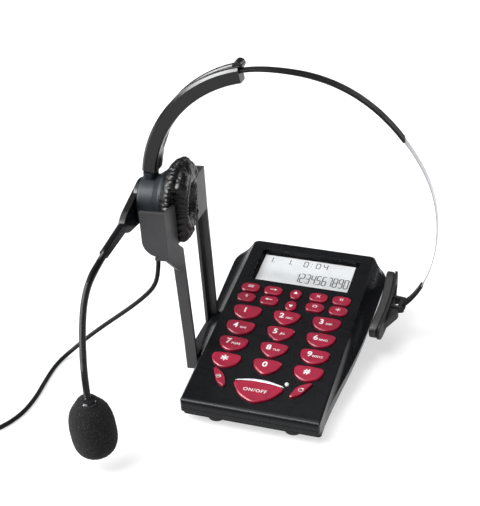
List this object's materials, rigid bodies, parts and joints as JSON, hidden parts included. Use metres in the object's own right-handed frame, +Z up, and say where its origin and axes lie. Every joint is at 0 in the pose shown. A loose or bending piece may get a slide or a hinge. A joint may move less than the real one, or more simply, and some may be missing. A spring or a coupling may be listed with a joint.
{
  "type": "call centre dial pad with monaural headset",
  "caption": "Sloping dial-pad console with a display and crimson keys, and a monaural headset with boom microphone resting in its side stand.",
  "frame": {"origin": "on the table, under the middle of the bounding box of console, stand and headset without the cord", "axes": "+Y towards the back of the console, +Z up, +X to the right as the user faces the keys"},
  "size_m": [0.2732, 0.2244, 0.2051],
  "materials": {
    "case_black": "satin moulded ABS",
    "window_clear": "clear acrylic window",
    "lcd_white": "white reflective liquid crystal display",
    "board_green": "glass fibre circuit board",
    "mat_rubber": "soft silicone rubber",
    "key_crimson": "crimson keys with printed legends",
    "trim_silver": "bright plated trim",
    "led_clear": "clear indicator lens",
    "jack_black": "black connector body",
    "cell_metal": "steel battery cans",
    "screw_steel": "self-tapping screws",
    "stand_grey": "fine-textured dark grey moulding",
    "cup_black": "satin black moulding",
    "hub_grey": "blue-grey satin moulding",
    "cushion_leatherette": "wrinkled black leatherette over foam",
    "neck_rubber": "ribbed black sleeve",
    "foam_black": "open-cell foam",
    "sleeve_black": "black plastic sleeve",
    "spring_steel": "bright spring steel",
    "pad_black": "soft black pad",
    "bar_grey": "grey moulding",
    "cord_black": "black vinyl cord",
    "plug_clear": "clear modular plug"
  },
  "bodies": {
    "console": {"upper_case": "case_black", "lower_case": "case_black", "battery_cover": "case_black", "batteries": "cell_metal", "case_screws": "screw_steel", "feet": "mat_rubber", "line_jack": "jack_black", "headset_jack": "jack_black", "main_board": "board_green", "key_mat": "mat_rubber", "lcd_panel": "lcd_white", "display_window": "window_clear", "on_off_trim": "trim_silver", "status_led": "led_clear", "stand_front": "stand_grey", "stand_rear": "stand_grey", "stand_base": "stand_grey"},
    "headset": {"cup_housing": "cup_black", "ear_cushion": "cushion_leatherette", "speaker": "cup_black", "cup_hub": "hub_grey", "strain_relief": "neck_rubber", "headset_cord": "cord_black", "cord_coil": "cord_black", "cord_plug": "plug_clear"},
    "boom": {"boom_arm": "cup_black", "gooseneck": "neck_rubber", "mic_capsule": "cup_black", "windscreen": "foam_black"},
    "headband": {"headband_arm": "cup_black"},
    "band": {"band_sleeve": "sleeve_black", "steel_strip": "spring_steel", "strip_tip": "sleeve_black"},
    "t_bar": {"temple_bar": "bar_grey", "temple_pad": "pad_black"},
    "key_1_cap": {"key_1": "key_crimson"},
    "key_2_cap": {"key_2": "key_crimson"},
    "key_3_cap": {"key_3": "key_crimson"},
    "key_4_cap": {"key_4": "key_crimson"},
    "key_5_cap": {"key_5": "key_crimson"},
    "key_6_cap": {"key_6": "key_crimson"},
    "key_7_cap": {"key_7": "key_crimson"},
    "key_8_cap": {"key_8": "key_crimson"},
    "key_9_cap": {"key_9": "key_crimson"},
    "key_star_cap": {"key_star": "key_crimson"},
    "key_0_cap": {"key_0": "key_crimson"},
    "key_hash_cap": {"key_hash": "key_crimson"},
    "key_set_cap": {"key_set": "key_crimson"},
    "key_out_cap": {"key_out": "key_crimson"},
    "key_delete_cap": {"key_delete": "key_crimson"},
    "key_pause_cap": {"key_pause": "key_crimson"},
    "key_flash_cap": {"key_flash": "key_crimson"},
    "key_back_cap": {"key_back": "key_crimson"},
    "key_hold_cap": {"key_hold": "key_crimson"},
    "key_bright_cap": {"key_bright": "key_crimson"},
    "key_up_cap": {"key_up": "key_crimson"},
    "key_down_cap": {"key_down": "key_crimson"},
    "key_mute_cap": {"key_mute": "key_crimson"},
    "key_redial_cap": {"key_redial": "key_crimson"},
    "key_on_off_cap": {"key_on_off": "key_crimson"}
  },
  "joints": [
    {"name": "key_1_press", "type": "slide", "parent": "console", "child": "key_1_cap", "axis": [0, 0.1392, -0.9903], "range_m": [0, 0.001], "stiffness_N_per_m": 600, "springref_m": -0.0005},
    {"name": "key_2_press", "type": "slide", "parent": "console", "child": "key_2_cap", "axis": [0, 0.1392, -0.9903], "range_m": [0, 0.001], "stiffness_N_per_m": 600, "springref_m": -0.0005},
    {"name": "key_3_press", "type": "slide", "parent": "console", "child": "key_3_cap", "axis": [0, 0.1392, -0.9903], "range_m": [0, 0.001], "stiffness_N_per_m": 600, "springref_m": -0.0005},
    {"name": "key_4_press", "type": "slide", "parent": "console", "child": "key_4_cap", "axis": [0, 0.1392, -0.9903], "range_m": [0, 0.001], "stiffness_N_per_m": 600, "springref_m": -0.0005},
    {"name": "key_5_press", "type": "slide", "parent": "console", "child": "key_5_cap", "axis": [0, 0.1392, -0.9903], "range_m": [0, 0.001], "stiffness_N_per_m": 600, "springref_m": -0.0005},
    {"name": "key_6_press", "type": "slide", "parent": "console", "child": "key_6_cap", "axis": [0, 0.1392, -0.9903], "range_m": [0, 0.001], "stiffness_N_per_m": 600, "springref_m": -0.0005},
    {"name": "key_7_press", "type": "slide", "parent": "console", "child": "key_7_cap", "axis": [0, 0.1392, -0.9903], "range_m": [0, 0.001], "stiffness_N_per_m": 600, "springref_m": -0.0005},
    {"name": "key_8_press", "type": "slide", "parent": "console", "child": "key_8_cap", "axis": [0, 0.1392, -0.9903], "range_m": [0, 0.001], "stiffness_N_per_m": 600, "springref_m": -0.0005},
    {"name": "key_9_press", "type": "slide", "parent": "console", "child": "key_9_cap", "axis": [0, 0.1392, -0.9903], "range_m": [0, 0.001], "stiffness_N_per_m": 600, "springref_m": -0.0005},
    {"name": "key_star_press", "type": "slide", "parent": "console", "child": "key_star_cap", "axis": [0, 0.1392, -0.9903], "range_m": [0, 0.001], "stiffness_N_per_m": 600, "springref_m": -0.0005},
    {"name": "key_0_press", "type": "slide", "parent": "console", "child": "key_0_cap", "axis": [0, 0.1392, -0.9903], "range_m": [0, 0.001], "stiffness_N_per_m": 600, "springref_m": -0.0005},
    {"name": "key_hash_press", "type": "slide", "parent": "console", "child": "key_hash_cap", "axis": [0, 0.1392, -0.9903], "range_m": [0, 0.001], "stiffness_N_per_m": 600, "springref_m": -0.0005},
    {"name": "key_set_press", "type": "slide", "parent": "console", "child": "key_set_cap", "axis": [0, 0.1392, -0.9903], "range_m": [0, 0.001], "stiffness_N_per_m": 600, "springref_m": -0.0005},
    {"name": "key_out_press", "type": "slide", "parent": "console", "child": "key_out_cap", "axis": [0, 0.1392, -0.9903], "range_m": [0, 0.001], "stiffness_N_per_m": 600, "springref_m": -0.0005},
    {"name": "key_delete_press", "type": "slide", "parent": "console", "child": "key_delete_cap", "axis": [0, 0.1392, -0.9903], "range_m": [0, 0.001], "stiffness_N_per_m": 600, "springref_m": -0.0005},
    {"name": "key_pause_press", "type": "slide", "parent": "console", "child": "key_pause_cap", "axis": [0, 0.1392, -0.9903], "range_m": [0, 0.001], "stiffness_N_per_m": 600, "springref_m": -0.0005},
    {"name": "key_flash_press", "type": "slide", "parent": "console", "child": "key_flash_cap", "axis": [0, 0.1392, -0.9903], "range_m": [0, 0.001], "stiffness_N_per_m": 600, "springref_m": -0.0005},
    {"name": "key_back_press", "type": "slide", "parent": "console", "child": "key_back_cap", "axis": [0, 0.1392, -0.9903], "range_m": [0, 0.001], "stiffness_N_per_m": 600, "springref_m": -0.0005},
    {"name": "key_hold_press", "type": "slide", "parent": "console", "child": "key_hold_cap", "axis": [0, 0.1392, -0.9903], "range_m": [0, 0.001], "stiffness_N_per_m": 600, "springref_m": -0.0005},
    {"name": "key_bright_press", "type": "slide", "parent": "console", "child": "key_bright_cap", "axis": [0, 0.1392, -0.9903], "range_m": [0, 0.001], "stiffness_N_per_m": 600, "springref_m": -0.0005},
    {"name": "key_up_press", "type": "slide", "parent": "console", "child": "key_up_cap", "axis": [0, 0.1392, -0.9903], "range_m": [0, 0.001], "stiffness_N_per_m": 600, "springref_m": -0.0005},
    {"name": "key_down_press", "type": "slide", "parent": "console", "child": "key_down_cap", "axis": [0, 0.1392, -0.9903], "range_m": [0, 0.001], "stiffness_N_per_m": 600, "springref_m": -0.0005},
    {"name": "key_mute_press", "type": "slide", "parent": "console", "child": "key_mute_cap", "axis": [0, 0.1392, -0.9903], "range_m": [0, 0.001], "stiffness_N_per_m": 600, "springref_m": -0.0005},
    {"name": "key_redial_press", "type": "slide", "parent": "console", "child": "key_redial_cap", "axis": [0, 0.1392, -0.9903], "range_m": [0, 0.001], "stiffness_N_per_m": 600, "springref_m": -0.0005},
    {"name": "key_on_off_press", "type": "slide", "parent": "console", "child": "key_on_off_cap", "axis": [0, 0.1392, -0.9903], "range_m": [0, 0.001], "stiffness_N_per_m": 600, "springref_m": -0.0005},
    {"name": "headset_lift", "type": "slide", "parent": "console", "child": "headset", "axis": [-0.0645, 0, 0.9979], "range_m": [0, 0.06]},
    {"name": "boom_turn", "type": "hinge", "parent": "headset", "child": "boom", "pos_m": [-0.07674, 0.00077, 0.1161], "axis": [0.9979, 0, 0.0645], "range_deg": [-100, 0]},
    {"name": "band_swivel", "type": "hinge", "parent": "headset", "child": "headband", "pos_m": [-0.07145, 0.00077, 0.1359], "axis": [0, 0, 1], "range_deg": [-12, 0]},
    {"name": "band_size", "type": "hinge", "parent": "headband", "child": "band", "pos_m": [-0.00065, 0.00077, 0.1298], "axis": [0, 1, 0], "range_deg": [-14, 0]},
    {"name": "t_bar_rock", "type": "hinge", "parent": "band", "child": "t_bar", "pos_m": [0.06612, 0.06904, 0.03029], "axis": [0.03, 0.9558, 0.2924], "range_deg": [-12, 0]}
  ]
}
